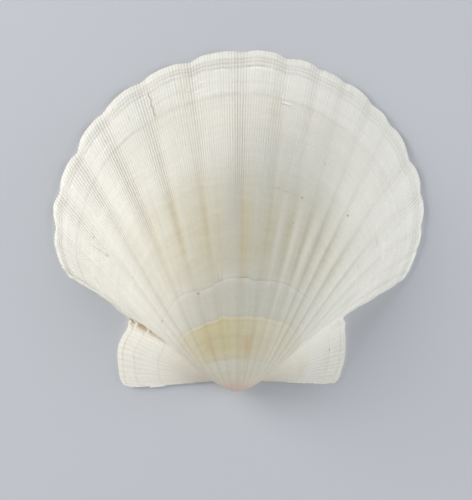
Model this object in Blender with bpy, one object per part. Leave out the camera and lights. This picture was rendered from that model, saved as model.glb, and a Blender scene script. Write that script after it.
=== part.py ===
"""Convex (right) valve of a great scallop, lying on its rim with the outside up.

The valve is built the way it grows. One outline, the margin, is turned about the hinge
line while it shrinks by a constant ratio, so each growth line is a smaller, steeper copy
of the margin and the whole back of the shell is a logarithmic spiral that ends in the
beak. Ribs stand on that surface along its normals. The inside is the same surface drawn
in by the wall from the sides, the ends and the top, and a narrow flat hinge plate joins
the two under the beak.

Work coordinates are millimetres: X along the hinge line, Y from the hinge line towards
the far margin, Z up from the surface that the valve rests on.
"""

import math

import bmesh
import bpy
from mathutils import Vector

MM = 0.001

# Margin of the disc: centre of its polar form, then (angle, radius) pairs.
# The angle is 0 towards the far margin and positive to the right.
DISC_CENTRE = (0.0, 59.7)
DISC_RADII = (
    (-108, 64.2),
    (-99, 65.0),
    (-90, 64.3),
    (-75, 61.4),
    (-60, 59.3),
    (-40, 57.0),
    (-18, 55.5),
    (0, 56.0),
    (20, 57.1),
    (40, 59.3),
    (60, 62.0),
    (80, 64.9),
    (93, 65.5),
    (108, 64.2),
)

# Valleys between the ribs, as angles on that margin. Ribs are wider on the left.
RIB_VALLEYS = (
    -108, -102, -95, -85.5, -71.5, -54.5, -36.5, -18.7, 2.5, 17.5,
    30.3, 40.5, 51.5, 61.7, 73.5, 84.5, 94.7, 102, 108,
)
RIB_RISE = 1.7  # crest above valley on a broad rib, at the margin
BROAD_RIB = 12.0  # degrees; narrower ribs are lower in proportion
RIB_ROUNDNESS = 0.75  # under 1 makes broad crests and narrow valleys
RIBS_FULL = 0.25  # ribs fade out towards the beak, below this size
INNER_RIB_SHARE = 0.65  # how much of a rib shows inside, at the margin

# Shoulder and ear outlines, from the disc's corner past the notch to the hinge line's end.
LEFT_SHOULDER = ((-57.8, 35.9), (-48.5, 30.2), (-38.4, 21.7))
LEFT_EAR = ((-39.0, 18.5), (-41.0, 14.8), (-41.6, 9.0), (-41.4, 3.8), (-40.3, 0.7), (-37.0, -2.3))
RIGHT_SHOULDER = ((57.8, 35.3), (48.3, 29.0), (38.2, 22.0))
RIGHT_EAR = ((37.9, 17.6), (37.9, 12.8), (37.5, 7.6), (37.0, 3.4), (36.1, 0.9), (34.2, -0.8))

# Growth: turning by 1 / SPIRAL_PITCH radians for each e-fold of shrinking.
SPIRAL_PITCH = 1.395
FULL_TURN = math.radians(150)
RIM_HEIGHT = 1.5
BEAK_TIP = (0.0, -0.4, RIM_HEIGHT + 1.1)
WALL = (1.5, 1.8, 1.5)  # how far the inside is drawn in from the sides, ends and top
MIDDLE = (0.0, 38.0)  # the point that it is drawn towards
MIDDLE_BLEND = (6.0, 12.0)
HINGE_PLATE = 3.2  # width of the plate under the beak
PLATE_BLEND = 1.2

# Mesh density.
COLUMNS_PER_RIB = 4
COLUMNS_PER_SHOULDER_POINT = 2
ROWS = 15
OUTER_START = 0.05  # size of the smallest growth line outside, as a share of the margin
INNER_START = 0.12

NODE = "scallop_valve"
SHELL_COLOUR = (0.86, 0.84, 0.77, 1.0)

RIBS = len(RIB_VALLEYS) - 1
LEFT_END = -len(LEFT_SHOULDER) - len(LEFT_EAR)
RIGHT_END = RIBS + len(RIGHT_SHOULDER) + len(RIGHT_EAR)
AT_RIM = 0.999  # sizes from here up count as the rim itself
STEP = 1e-3  # for slopes, in t and as a share of the size
MERGE = 1e-3
SMALLEST = 1e-6


def curve_through(points, at):
    """A point on the Catmull-Rom curve through points; at counts points from 0."""
    last = len(points) - 1
    i = min(int(max(at, 0.0)), last - 1)
    f = min(max(at - i, 0.0), 1.0)
    p = [Vector(points[min(max(k, 0), last)]) for k in (i - 1, i, i + 1, i + 2)]
    a = 2 * p[1]
    b = p[2] - p[0]
    c = 2 * p[0] - 5 * p[1] + 4 * p[2] - p[3]
    d = 3 * p[1] - p[0] - 3 * p[2] + p[3]
    return 0.5 * (a + b * f + c * f * f + d * f * f * f)


def disc_point(angle):
    """The margin of the disc at an angle in degrees."""
    i = 0
    while i < len(DISC_RADII) - 2 and angle > DISC_RADII[i + 1][0]:
        i += 1
    low, high = DISC_RADII[i][0], DISC_RADII[i + 1][0]
    radius = curve_through(DISC_RADII, i + (angle - low) / (high - low))[1]
    turn = math.radians(angle)
    x = DISC_CENTRE[0] + radius * math.sin(turn)
    y = DISC_CENTRE[1] + radius * math.cos(turn)
    return Vector((x, y))


def margin(t):
    """The outline. t counts ribs from 0 to RIBS, and control points past both corners."""
    if t < 0:
        side = (disc_point(RIB_VALLEYS[0]), *LEFT_SHOULDER, *LEFT_EAR)
        return curve_through(side, -t)
    if t > RIBS:
        side = (disc_point(RIB_VALLEYS[-1]), *RIGHT_SHOULDER, *RIGHT_EAR)
        return curve_through(side, t - RIBS)
    rib = min(int(t), RIBS - 1)
    low, high = RIB_VALLEYS[rib], RIB_VALLEYS[rib + 1]
    return disc_point(low + (high - low) * (t - rib))


def rib_height(t):
    """Height of the ribs above their mean surface, at the margin."""
    if t <= 0 or t >= RIBS:
        return 0.0
    rib = min(int(t), RIBS - 1)
    width = RIB_VALLEYS[rib + 1] - RIB_VALLEYS[rib]
    rise = RIB_RISE * min(1.0, width / BROAD_RIB)
    crest = math.sin(math.pi * (t - rib)) ** RIB_ROUNDNESS
    return rise * (crest - 0.5)


def smooth_back(t, size):
    """The outside without ribs: the margin at that size, turned about the hinge line."""
    outline = margin(t) * size
    turn = min(FULL_TURN, -math.log(max(size, SMALLEST)) / SPIRAL_PITCH)
    y = outline.y * math.cos(turn)
    z = outline.y * math.sin(turn)
    return Vector((outline.x, y, RIM_HEIGHT + z))


def outward(t, size):
    """Unit normal of the smooth back."""
    t_low, t_high = max(t - STEP, LEFT_END), min(t + STEP, RIGHT_END)
    size = max(size, OUTER_START)
    along = smooth_back(t_high, size) - smooth_back(t_low, size)
    across = smooth_back(t, size * (1 + STEP)) - smooth_back(t, size * (1 - STEP))
    return along.cross(across).normalized()


def ribbed_back(t, size, share=1.0):
    """The outside with a share of its ribs, which grow with the shell."""
    grown = size * min(1.0, size / RIBS_FULL)
    return smooth_back(t, size) + outward(t, size) * rib_height(t) * grown * share


def outer_point(t, size):
    """The outside; size 0 is the tip of the beak."""
    return ribbed_back(t, size) if size > 0 else Vector(BEAK_TIP)


def arch_height(t, size):
    """Height of the rim's underside: it rests at the valleys and arches under the crests."""
    rib = rib_height(t) * INNER_RIB_SHARE
    lowest = -0.5 * RIB_RISE * INNER_RIB_SHARE
    return (rib - lowest) if 0 < t < RIBS and size > AT_RIM else 0.0


def foot_point(t, size):
    """The outer edge carried down to the rim's underside, or to the hinge plate's."""
    top = outer_point(t, size)
    return Vector((top.x, top.y, arch_height(t, size)))


def draw_in(point):
    """Move a point of the outside in by the wall. Each coordinate keeps its order, so the
    inside can't fold over itself, and none lands behind the hinge plate or below the rim."""
    side = point.x - MIDDLE[0]
    end = point.y - MIDDLE[1]
    x = point.x - WALL[0] * side / math.hypot(side, MIDDLE_BLEND[0])
    y = point.y - WALL[1] * end / math.hypot(end, MIDDLE_BLEND[1])
    y = HINGE_PLATE + PLATE_BLEND * math.log(1 + math.exp((y - HINGE_PLATE) / PLATE_BLEND))
    return Vector((x, y, max(point.z - WALL[2], 0.0)))


def inner_point(t, size):
    """The inside; size 0 is the middle of the hinge plate's inner edge."""
    if size == 0:
        return Vector((0, HINGE_PLATE, 0))
    point = draw_in(ribbed_back(t, size, INNER_RIB_SHARE * size * size))
    if size > AT_RIM:
        point.z = arch_height(t, size)
    return point


def column_stations():
    """The t of each column: a few to each rib and shoulder point, one to each ear point."""
    shoulder = len(LEFT_SHOULDER) * COLUMNS_PER_SHOULDER_POINT
    side = [i / COLUMNS_PER_SHOULDER_POINT for i in range(1, shoulder + 1)]
    side += [len(LEFT_SHOULDER) + i for i in range(1, len(LEFT_EAR) + 1)]
    ribs = [i / COLUMNS_PER_RIB for i in range(RIBS * COLUMNS_PER_RIB + 1)]
    return [-at for at in reversed(side)] + ribs + [RIBS + at for at in side]


def row_sizes(start):
    """Growth line sizes, closer together towards the beak."""
    return [start + (1 - start) * (i / ROWS) ** 1.5 for i in range(ROWS + 1)]


def add_sheet(bm, place, sizes):
    """A grid whose columns are stations of the margin and whose rows are growth lines."""
    stations = column_stations()
    t_layer = bm.verts.layers.float["t"]
    size_layer = bm.verts.layers.float["size"]
    made = bmesh.ops.create_grid(
        bm, x_segments=len(stations) - 1, y_segments=len(sizes) - 1, size=0.5
    )
    for vert in made["verts"]:
        column = round((vert.co.x + 0.5) * (len(stations) - 1))
        row = round((vert.co.y + 0.5) * (len(sizes) - 1))
        vert[t_layer] = stations[column]
        vert[size_layer] = sizes[row]
        vert.co = place(stations[column], sizes[row])
    bmesh.ops.remove_doubles(bm, verts=made["verts"], dist=MERGE)


def extrude_border(bm, place):
    """Extrude the open edge and put each new vertex where place says."""
    t_layer = bm.verts.layers.float["t"]
    size_layer = bm.verts.layers.float["size"]
    border = [edge for edge in bm.edges if edge.is_boundary]
    made = bmesh.ops.extrude_edge_only(bm, edges=border)
    for vert in (v for v in made["geom"] if isinstance(v, bmesh.types.BMVert)):
        vert.co = place(vert[t_layer], vert[size_layer])


def inner_from_outer_size(size):
    """The inner row that belongs to an outer row, by their place in the two lists."""
    outer, inner = [0.0, *row_sizes(OUTER_START)], [0.0, *row_sizes(INNER_START)]
    row = min(range(len(outer)), key=lambda i: abs(outer[i] - size))
    return inner[row]


def build_valve():
    bm = bmesh.new()
    bm.verts.layers.float.new("t")
    bm.verts.layers.float.new("size")
    add_sheet(bm, outer_point, [0.0, *row_sizes(OUTER_START)])
    extrude_border(bm, foot_point)
    extrude_border(bm, lambda t, size: inner_point(t, inner_from_outer_size(size)))
    add_sheet(bm, inner_point, row_sizes(INNER_START))
    bmesh.ops.remove_doubles(bm, verts=bm.verts, dist=MERGE)
    back_wall = [edge for edge in bm.edges if edge.is_boundary]
    bmesh.ops.holes_fill(bm, edges=back_wall)
    bmesh.ops.triangulate(bm, faces=bm.faces)
    bmesh.ops.recalc_face_normals(bm, faces=bm.faces)
    return bm


def centre_on_base(bm):
    """Move the origin to the middle of the footprint, and scale to metres."""
    xs = [v.co.x for v in bm.verts]
    ys = [v.co.y for v in bm.verts]
    middle = Vector(((min(xs) + max(xs)) / 2, (min(ys) + max(ys)) / 2, 0))
    bmesh.ops.translate(bm, verts=bm.verts, vec=-middle)
    bmesh.ops.scale(bm, verts=bm.verts, vec=(MM, MM, MM))


def shell_material():
    material = bpy.data.materials.new("shell")
    material.use_nodes = True
    surface = material.node_tree.nodes["Principled BSDF"]
    surface.inputs["Base Color"].default_value = SHELL_COLOUR
    surface.inputs["Roughness"].default_value = 0.45
    surface.inputs["Metallic"].default_value = 0.0
    return material


def main():
    for old in list(bpy.data.objects):
        bpy.data.objects.remove(old)
    bm = build_valve()
    centre_on_base(bm)
    mesh = bpy.data.meshes.new(NODE)
    bm.to_mesh(mesh)
    bm.free()
    mesh.shade_smooth()
    mesh.set_sharp_from_angle(angle=math.radians(50))
    mesh.materials.append(shell_material())
    bpy.context.scene.collection.objects.link(bpy.data.objects.new(NODE, mesh))


main()
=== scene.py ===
import math
from types import SimpleNamespace

import bmesh
import bpy
import numpy as np
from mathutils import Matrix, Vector, noise


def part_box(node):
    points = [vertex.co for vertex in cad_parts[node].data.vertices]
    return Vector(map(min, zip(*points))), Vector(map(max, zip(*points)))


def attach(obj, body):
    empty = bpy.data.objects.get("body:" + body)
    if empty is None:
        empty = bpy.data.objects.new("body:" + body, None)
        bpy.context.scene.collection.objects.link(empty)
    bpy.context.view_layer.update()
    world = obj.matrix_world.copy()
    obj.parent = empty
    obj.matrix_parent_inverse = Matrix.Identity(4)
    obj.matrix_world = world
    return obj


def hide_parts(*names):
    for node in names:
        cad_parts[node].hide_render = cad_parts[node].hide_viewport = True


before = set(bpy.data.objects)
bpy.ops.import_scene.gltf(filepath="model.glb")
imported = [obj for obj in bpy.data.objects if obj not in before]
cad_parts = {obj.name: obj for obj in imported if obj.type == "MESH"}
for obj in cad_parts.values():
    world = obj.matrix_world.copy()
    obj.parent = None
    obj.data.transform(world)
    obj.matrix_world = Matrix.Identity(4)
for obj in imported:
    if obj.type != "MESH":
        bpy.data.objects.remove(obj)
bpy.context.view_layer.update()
mm = 0.001
tiny = 1e-12  # keeps logarithms and divisions safe
print("frame loaded")


# the growth surface: one margin, turned about the hinge while it shrinks
# rays count degrees round the disc, then run on over the shoulders and the ears
# sizes count from 0 at the beak to 1 at the margin, and lengths are in millimetres
valve = {
    "discMiddle": (0.0, 59.7),  # from the middle of the hinge line
    "discAngles": (-108, -99, -90, -75, -60, -40, -18, 0, 20, 40, 60, 80, 93, 108),
    "discRadii": (64.2, 65.0, 64.3, 61.4, 59.3, 57.0, 55.5, 56.0, 57.1, 59.3, 62.0, 64.9, 65.5, 64.2),
    "leftShoulder": ((-57.8, 35.9), (-48.5, 30.2), (-38.3, 22.2)),
    "leftEar": ((-37.8, 20.6), (-38.3, 18.2), (-39.9, 15.8), (-41.3, 12.6), (-41.7, 8.6), (-41.3, 4.4),
                (-40.7, 0.8), (-39.6, -1.2), (-37.0, -2.2)),
    "rightShoulder": ((57.8, 35.3), (48.3, 29.2), (38.1, 23.0)),
    "rightEar": ((38.0, 20.2), (37.9, 17.4), (38.1, 14.2), (38.0, 10.6), (37.6, 7.0), (36.7, 3.8),
                 (35.8, 0.9), (34.2, -0.9)),
    "discEnd": 108,
    "notch": 134,  # the ray of the crease between disc and ear
    "hingeEnd": 166,
    "stepsPerDegree": 20,  # of the table that the margin is read from
    "pitch": 1.395,  # how much shrinking goes with each radian of turn
    "fullTurn": math.radians(150),
    "rimHeight": 1.5,
    "beakTip": (0.0, -0.4, 2.6),
    "beakBack": -2.3,  # the beak is rounded off this far behind the hinge
    "beakSoftness": 0.5,
    "beakHeights": (6, 12),  # the heights between which the rounding sets in
    "shoulderLift": 2.6,  # how far the shoulders pull in towards the disc, half way through growth
    "liftRises": (84, 112),  # rays
    "liftFalls": (148, 122),
    "liftSizes": (0.05, 0.45),
    "leftLiftShare": 0.8,
    "smallest": 0.05,  # the first growth line
}


def ease(low, high, value):
    t = np.clip((value - low) / (high - low), 0, 1)
    return t * t * (3 - 2 * t)


def curveThrough(points, at):
    # Catmull-Rom through the points; at counts points from 0
    p = np.array(points, float).reshape(len(points), -1)
    last = len(p) - 1
    i = np.clip(at.astype(int), 0, last - 1)
    f = np.clip(at - i, 0, 1)[:, None]
    a, b, c, d = (p[np.clip(i + k, 0, last)] for k in (-1, 0, 1, 2))
    return 0.5 * (2 * b + (c - a) * f + (2 * a - 5 * b + 4 * c - d) * f**2 + (3 * b - a - 3 * c + d) * f**3)


def discPoint(angle):
    place = np.interp(angle, valve["discAngles"], np.arange(len(valve["discAngles"])))
    radius = curveThrough(valve["discRadii"], place)[:, 0]
    x = valve["discMiddle"][0] + radius * np.sin(np.radians(angle))
    y = valve["discMiddle"][1] + radius * np.cos(np.radians(angle))
    return np.stack([x, y], 1)


def sidePoint(ray, corner, shoulder, ear):
    points = [corner, *shoulder, *ear]
    marks = np.linspace(valve["discEnd"], valve["notch"], len(shoulder) + 1)
    marks = np.append(marks, np.linspace(valve["notch"], valve["hingeEnd"], len(ear) + 1)[1:])
    return curveThrough(points, np.interp(ray, marks, np.arange(len(points))))


def marginCurve(rays):
    out = discPoint(np.clip(rays, -valve["discEnd"], valve["discEnd"]))
    corners = discPoint(np.array([-valve["discEnd"], valve["discEnd"]], float))
    left, right = rays < -valve["discEnd"], rays > valve["discEnd"]
    out[left] = sidePoint(-rays[left], corners[0], valve["leftShoulder"], valve["leftEar"])
    out[right] = sidePoint(rays[right], corners[1], valve["rightShoulder"], valve["rightEar"])
    return out


tableSteps = 2 * valve["hingeEnd"] * valve["stepsPerDegree"]
rayTable = np.linspace(-valve["hingeEnd"], valve["hingeEnd"], tableSteps + 1)
marginTable = marginCurve(rayTable)


def smoothBack(ray, size):
    # the outside without ribs, hinge line along X through the origin
    turn = np.minimum(valve["fullTurn"], -np.log(np.maximum(size, tiny)) / valve["pitch"])
    x = np.interp(ray, rayTable, marginTable[:, 0]) * size
    reach = np.interp(ray, rayTable, marginTable[:, 1]) * size
    off = np.abs(ray)
    side = np.where(ray < 0, valve["leftLiftShare"], 1)
    lift = valve["shoulderLift"] * ease(*valve["liftRises"], off) * ease(*valve["liftFalls"], off) * side
    lift = lift * 4 * size * (1 - size) * ease(*valve["liftSizes"], size)
    return np.stack([x, reach * np.cos(turn) + lift, valve["rimHeight"] + reach * np.sin(turn)], 1)


def outward(ray, size):
    rayStep = 0.05
    sizeStep = 0.001
    size = np.maximum(size, valve["smallest"])
    end = valve["hingeEnd"]
    before, after = np.maximum(ray - rayStep, -end), np.minimum(ray + rayStep, end)
    along = smoothBack(after, size) - smoothBack(before, size)
    across = smoothBack(ray, size * (1 + sizeStep)) - smoothBack(ray, size * (1 - sizeStep))
    n = np.cross(along, across)
    return n / np.maximum(np.linalg.norm(n, axis=1, keepdims=True), tiny)


def softNoise(*axes):
    # smooth noise from -1 to 1 at each point
    axes = [np.broadcast_to(a, axes[0].shape) for a in axes] + [np.zeros_like(axes[0])] * (3 - len(axes))
    return np.array([noise.noise(Vector(p)) for p in zip(*axes)])


# ribs, riblets and growth lines, as heights at the margin
relief = {
    "valleys": (-108, -102, -94.7, -84, -70, -54.2, -36.7, -17.8, 2.2, 17.8,
                30.3, 40, 51.7, 61, 73, 84.2, 94.4, 102, 108),
    "ribSizes": (0.10, 0.20, 0.33, 0.42, 0.56, 0.68, 0.80, 0.95, 1.00),
    "ribRises": (0.95, 0.95, 0.70, 0.72, 0.92, 0.48, 0.32, 0.36, 0.58),
    "archRise": 1.35,  # how far the rim arches under a broad rib
    "broadRib": 12.0,  # ribs narrower than this are lower in proportion
    "valleyShare": 0.55,  # higher is a wider, softer valley
    "middleRibs": (0.24, 0.72),  # the sizes between which the ribs rise, in the middle
    "sideRibs": (-0.02, 0.30),  # and at the sides
    "middleToSide": (28, 62),
    "ribletRise": 0.22,
    "ribletsPerDegree": 0.9,
    "ribletSizes": (0.50, 0.78),
    "besideValley": (5.5, 2.6),  # how far riblets stay strong, in degrees before and after a valley
    "onCrest": 0.38,
    "inValley": 0.72,
    "earCords": 18,
    "earCordRise": 0.09,
    "cordSizes": (0.12, 0.4),
    "smoothUpperEar": 0.25,  # what is left of the cords on the upper part of the right ear
    "shoulderRidges": 5,  # between the last rib and the crease
    "shoulderRise": 0.26,
    "creaseDepth": 0.40,
    "creaseReach": 1.4,  # degrees
    "grooveReach": 2.2,
    "unevenness": 0.20,
    "lineWander": 0.0030,
    "innerRibShare": 0.65,
}
# how far the margin draws back at the end of each valley: ray, share of its size, reach before and after
marginDips = (
    (-94.5, 0.023, 4.5, 3.5), (-83.5, 0.012, 3.2, 2.6), (-68.8, 0.014, 3.2, 2.2), (-53.5, 0.005, 4, 4),
    (-37, 0.006, 3, 3), (-17.2, 0.010, 6, 2.8), (2, 0.005, 3, 5), (18.2, 0.007, 2.2, 4.5),
    (30.5, 0.005, 3, 4), (39, 0.004, 4, 4), (52, 0.005, 2.6, 4), (60.5, 0.006, 3, 3),
    (72.8, 0.012, 4, 3.4), (84, 0.009, 2.4, 4), (94, 0.010, 3, 3),
)
# growth rests: size, height of the ledge, length of its slope in size
rests = (
    (0.165, 0.05, 0.012),
    (0.315, 0.07, 0.010),
    (0.400, 0.16, 0.014),
    (0.470, 0.05, 0.010),
    (0.560, 0.05, 0.010),
    (0.624, 0.05, 0.010),
    (0.664, 0.07, 0.012),
    (0.762, 0.09, 0.012),
    (0.862, 0.16, 0.012),
    (0.905, 0.06, 0.010),
    (0.9485, 0.20, 0.007),
    (0.9615, 0.17, 0.006),
    (0.9730, 0.17, 0.006),
)
earRests = ((0.664, 0.03, 0.010), (0.862, 0.06, 0.009), (0.9615, 0.11, 0.006))
# how the two strong rests bend from valley to valley, as shares of their size
restBends = (
    {"size": 0.40, "reach": 0.035,
     "rays": (-100, -66, -54, -44, -31, -21, -17, -8, 2, 9, 14, 24, 42, 60, 75, 100),
     "shares": (0, -0.004, 0.008, -0.008, -0.032, -0.030, -0.006, -0.003, 0, 0.002, -0.012, 0, 0.008, 0,
                0.03, 0)},
    {"size": 0.315, "reach": 0.02,
     "rays": (-85, -65, -55, -45, -37, -28, -21, -18, -14, -9, 0, 8, 15, 18, 23, 36, 60),
     "shares": (0, 0, -0.012, -0.026, -0.012, -0.024, -0.018, 0.002, 0, -0.018, -0.022, -0.017, -0.004,
                -0.014, -0.004, -0.01, 0)},
)
# how far the ribs swing from their place at the margin by the settled size, in degrees
ribSwing = {
    "settled": 0.48,
    "bend": 1.6,
    "rays": (-108, -98, -89, -80, -71, -60, -36, -19, 4, 21, 33, 43, 52, 60, 70, 79, 88, 108),
    "degrees": (0, -4, -5, -3.8, 0.9, 0.2, 0.2, 0.9, -1.5, -2.9, -3, -3.3, -0.3, 1, 3.5, 5.2, 6.2, 0),
}
# shallow extra grooves along the left ribs: ray, depth
extraGrooves = ((-64.5, 0.34), (-47, 0.14), (-92.5, 0.14), (-10, 0.06))


def ribShape(ray, size):
    # 0 in the valleys, 1 on the crests, and how high each rib rises
    settled = ribSwing["settled"]
    swing = 1 - np.clip((size - settled) / (1 - settled), 0, 1) ** ribSwing["bend"]
    ray = ray + swing * np.interp(ray, ribSwing["rays"], ribSwing["degrees"])
    valleys = np.array(relief["valleys"], float)
    rib = np.clip(np.searchsorted(valleys, ray, side="right") - 1, 0, len(valleys) - 2)
    width = valleys[rib + 1] - valleys[rib]
    across = np.clip((ray - valleys[rib]) / width, 0, 1)
    crest = 1 - np.exp(-(np.sin(np.pi * across) / relief["valleyShare"]) ** 2)
    breadth = np.minimum(1, width / relief["broadRib"])
    onDisc = np.abs(ray) < valve["discEnd"]
    return np.where(onDisc, crest, 0.5), np.where(onDisc, breadth, 0)


def marginDip(ray):
    roundness = 1.7
    dip = np.zeros_like(ray)
    for at, depth, before, after in marginDips:
        away = np.abs((ray - at) / np.where(ray < at, before, after))
        dip = np.maximum(dip, depth * np.exp(-away ** roundness))
    return dip


def besideValley(ray):
    # 1 in a valley, falling to 0 on the crests
    valleys = np.array(relief["valleys"], float)
    gap = ray[:, None] - valleys[None, :]
    before, after = relief["besideValley"]
    return np.exp(-(gap / np.where(gap < 0, before, after)) ** 2).max(axis=1)


def bell(value, middle, reach):
    return np.exp(-((value - middle) / reach) ** 2)


def wander(ray, size):
    # growth lines don't run quite true, above all at the strong rest and near the margin
    slow = softNoise(ray * 0.07, size * 5)
    jagged = 1.6 * softNoise(ray * 0.8, size * 3) * bell(size, 0.4, 0.03)
    quick = softNoise(ray * 0.33, size * 9 + 20) + jagged
    nearMargin = 1 + 1.2 * ease(0.85, 0.93, size) * (1 - ease(0.975, 1.0, size))
    bend = np.zeros_like(ray)
    for rest in restBends:
        bend += np.interp(ray, rest["rays"], rest["shares"]) * bell(size, rest["size"], rest["reach"])
    slant = 0.045 * ease(12, 72, ray) * bell(size, 0.36, 0.12)
    return (relief["lineWander"] * nearMargin * (slow + 0.5 * quick) + bend + slant) * ease(0.08, 0.2, size)


def ledges(size, lips):
    # each rest leaves a lip that rises slowly and then drops
    height = np.zeros_like(size)
    for at, rise, slope in lips:
        height += np.where(size <= at, rise * np.exp(-(at - size) / slope), 0)
    return height


def ribletPlace(ray, size):
    return ray * relief["ribletsPerDegree"] + 0.16 * softNoise(ray * 0.21, size * 0.9 + 9)


def ribletStrength(ray, size):
    low, high = relief["ribletSizes"]
    patchy = 1 + 0.5 * softNoise(ray * 0.13, size * 2.5 + 4) + 0.4 * softNoise(ray * 0.8, size * 1.5)
    near = relief["onCrest"] + relief["inValley"] * besideValley(ray)
    side = 1 - 0.5 * ease(6, 22, ray) - 0.22 * ease(24, 40, ray) + 0.22 * ease(62, 75, ray)
    return patchy * near * side * ease(low, high, size) * ease(0, 3, valve["notch"] - np.abs(ray))


def earPlace(ray):
    return (np.abs(ray) - valve["notch"]) / (valve["hingeEnd"] - valve["notch"])


def cordPlace(ray, size):
    across = earPlace(ray)
    return across * relief["earCords"] + 0.45 * softNoise(across * 6, size * 3, np.sign(ray) * 7)


def cordStrength(ray, size):
    # the right ear is smooth on the disc side
    across = earPlace(ray)
    uneven = 1 + 0.7 * softNoise(ray * 0.45, size * 5 + 40)
    left = relief["smoothUpperEar"]
    upper = np.where(ray > 0, left + (1 - left) * ease(0.25, 0.55, across), 1)
    ends = ease(0.0, 0.04, across) * ease(0.0, 0.05, 1 - across)
    return uneven * upper * ends * ease(*relief["cordSizes"], size)


def discRibs(ray, size):
    crest, breadth = ribShape(ray, size)
    rise = np.interp(size, relief["ribSizes"], relief["ribRises"]) * breadth
    side = ease(*relief["middleToSide"], np.abs(ray))
    low, high = (m + (e - m) * side for m, e in zip(relief["middleRibs"], relief["sideRibs"]))
    ribs = (crest - 0.5) * rise * ease(low, high, size)
    fade = ease(0.10, 0.30, size) * (1 - ease(0.62, 0.80, size))
    for groove, depth in extraGrooves:
        ribs = ribs - depth * bell(ray, groove, relief["grooveReach"]) * fade
    return ribs


def shoulderRidges(ray, size):
    shoulder = (np.abs(ray) - valve["discEnd"]) / (valve["notch"] - valve["discEnd"])
    ridges = -np.cos(2 * np.pi * shoulder * relief["shoulderRidges"]) * 0.5 * relief["shoulderRise"]
    patchy = 1 + 0.5 * softNoise(ray * 0.2, size * 2 + 60)
    return ridges * ease(-0.02, 0.1, shoulder) * ease(1.0, 0.9, shoulder) * patchy


def restLedges(ray, size):
    # the early rests fade out towards the sides
    off = np.abs(ray)
    faded = 1 - 0.85 * ease(38, 62, off) * (1 - ease(0.42, 0.5, size))
    lips = np.where(off > valve["notch"], ledges(size, earRests), ledges(size, rests) * faded)
    return lips * (1 + 0.45 * softNoise(ray * 0.15, size * 3 + 30)) * ease(0.05, 0.3, size)


def waves(place, rise):
    return np.cos(2 * np.pi * place) * 0.5 * rise


def outerRelief(ray, size):
    off = np.abs(ray)
    riblets = waves(ribletPlace(ray, size), relief["ribletRise"]) * ribletStrength(ray, size)
    cords = waves(cordPlace(ray, size), relief["earCordRise"]) * cordStrength(ray, size)
    crease = relief["creaseDepth"] * bell(off, valve["notch"], relief["creaseReach"])
    crease *= 1 - ease(0.9, 1.0, size)
    uneven = relief["unevenness"] * softNoise(ray * 0.045 + 3, size * 3.5)
    uneven += 0.3 * relief["unevenness"] * softNoise(ray * 0.2, size * 11)
    fine = np.where(off > valve["notch"], cords, shoulderRidges(ray, size))
    return (discRibs(ray, size) + riblets + fine - crease + uneven) * size + restLedges(ray, size)


# the wall, the rim and the inside
wall = {
    "drawIn": (1.5, 1.8, 1.5),  # from the sides, the ends and the top
    "middle": (0.0, 38.0),
    "blend": (6.0, 12.0),
    "hingePlate": 3.2,
    "plateBlend": 1.2,
    "innerSmallest": 0.12,
    "lowestValley": 0.03,  # keeps the arches' logarithm finite
}


def drawIn(p):
    # each coordinate keeps its order, so the inside can't fold over itself
    side, end = p[:, 0] - wall["middle"][0], p[:, 1] - wall["middle"][1]
    x = p[:, 0] - wall["drawIn"][0] * side / np.hypot(side, wall["blend"][0])
    y = p[:, 1] - wall["drawIn"][1] * end / np.hypot(end, wall["blend"][1])
    plate, soft = wall["hingePlate"], wall["plateBlend"]
    y = plate + soft * np.log1p(np.exp((y - plate) / soft))
    return np.stack([x, y, np.maximum(p[:, 2] - wall["drawIn"][2], 0)], 1)


def archHeight(ray):
    # the rim rests at the valleys and arches under the crests
    crest, breadth = ribShape(ray, 1.0)
    rounded = -np.log(np.maximum(1 - crest, wall["lowestValley"])) * relief["valleyShare"] ** 2
    onDisc = np.abs(ray) < valve["discEnd"]
    return np.where(onDisc, rounded, 0) * breadth * relief["archRise"] * relief["innerRibShare"]


# the broken steps along the hinge edge: sizes, then how far the edge stands towards the disc
hingeSteps = {
    "left": ((0.345, 0.360, 0.67, 0.685, 0.81, 0.825, 1.00), (0.40, 0.05, -0.05, -0.40, -0.60, -0.15, 0.00)),
    "right": ((0.35, 0.38, 0.55, 0.71, 0.72, 0.90, 0.92, 1.00),
              (0.50, 0.15, -0.15, -0.25, -0.10, -0.35, 0.00, 0.10)),
}


def softFloor(value, floor, soft):
    # how far to raise a value so that it rounds off above the floor
    return soft * np.log1p(np.exp((floor - value) / soft))


def hingeEdge(ray, size):
    # the ears' straight edge is broken in steps, with small chips
    chips = 0.2 * softNoise(size * 55, ray * 0 + 2)
    chips += 0.4 * np.minimum(0, softNoise(size * 130, ray * 0.1) + 0.25)
    chips += np.where(ray < 0, *(np.interp(size, *hingeSteps[side]) for side in ("left", "right")))
    return np.where(np.abs(ray) == valve["hingeEnd"], chips * ease(0.2, 0.3, size), 0)


def placeOuter(ray, size):
    dipOnset = 20  # higher keeps the dips closer to the margin
    size = size * (1 + wander(ray, size) - marginDip(ray) * size**dipOnset)
    p = smoothBack(ray, size) + outward(ray, size) * outerRelief(ray, size)[:, None]
    p[:, 1] += hingeEdge(ray, size)
    rounding = softFloor(p[:, 1], valve["beakBack"], valve["beakSoftness"])
    p[:, 1] += rounding * ease(*valve["beakHeights"], p[:, 2])
    p[size <= 0] = valve["beakTip"]
    return p


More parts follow.
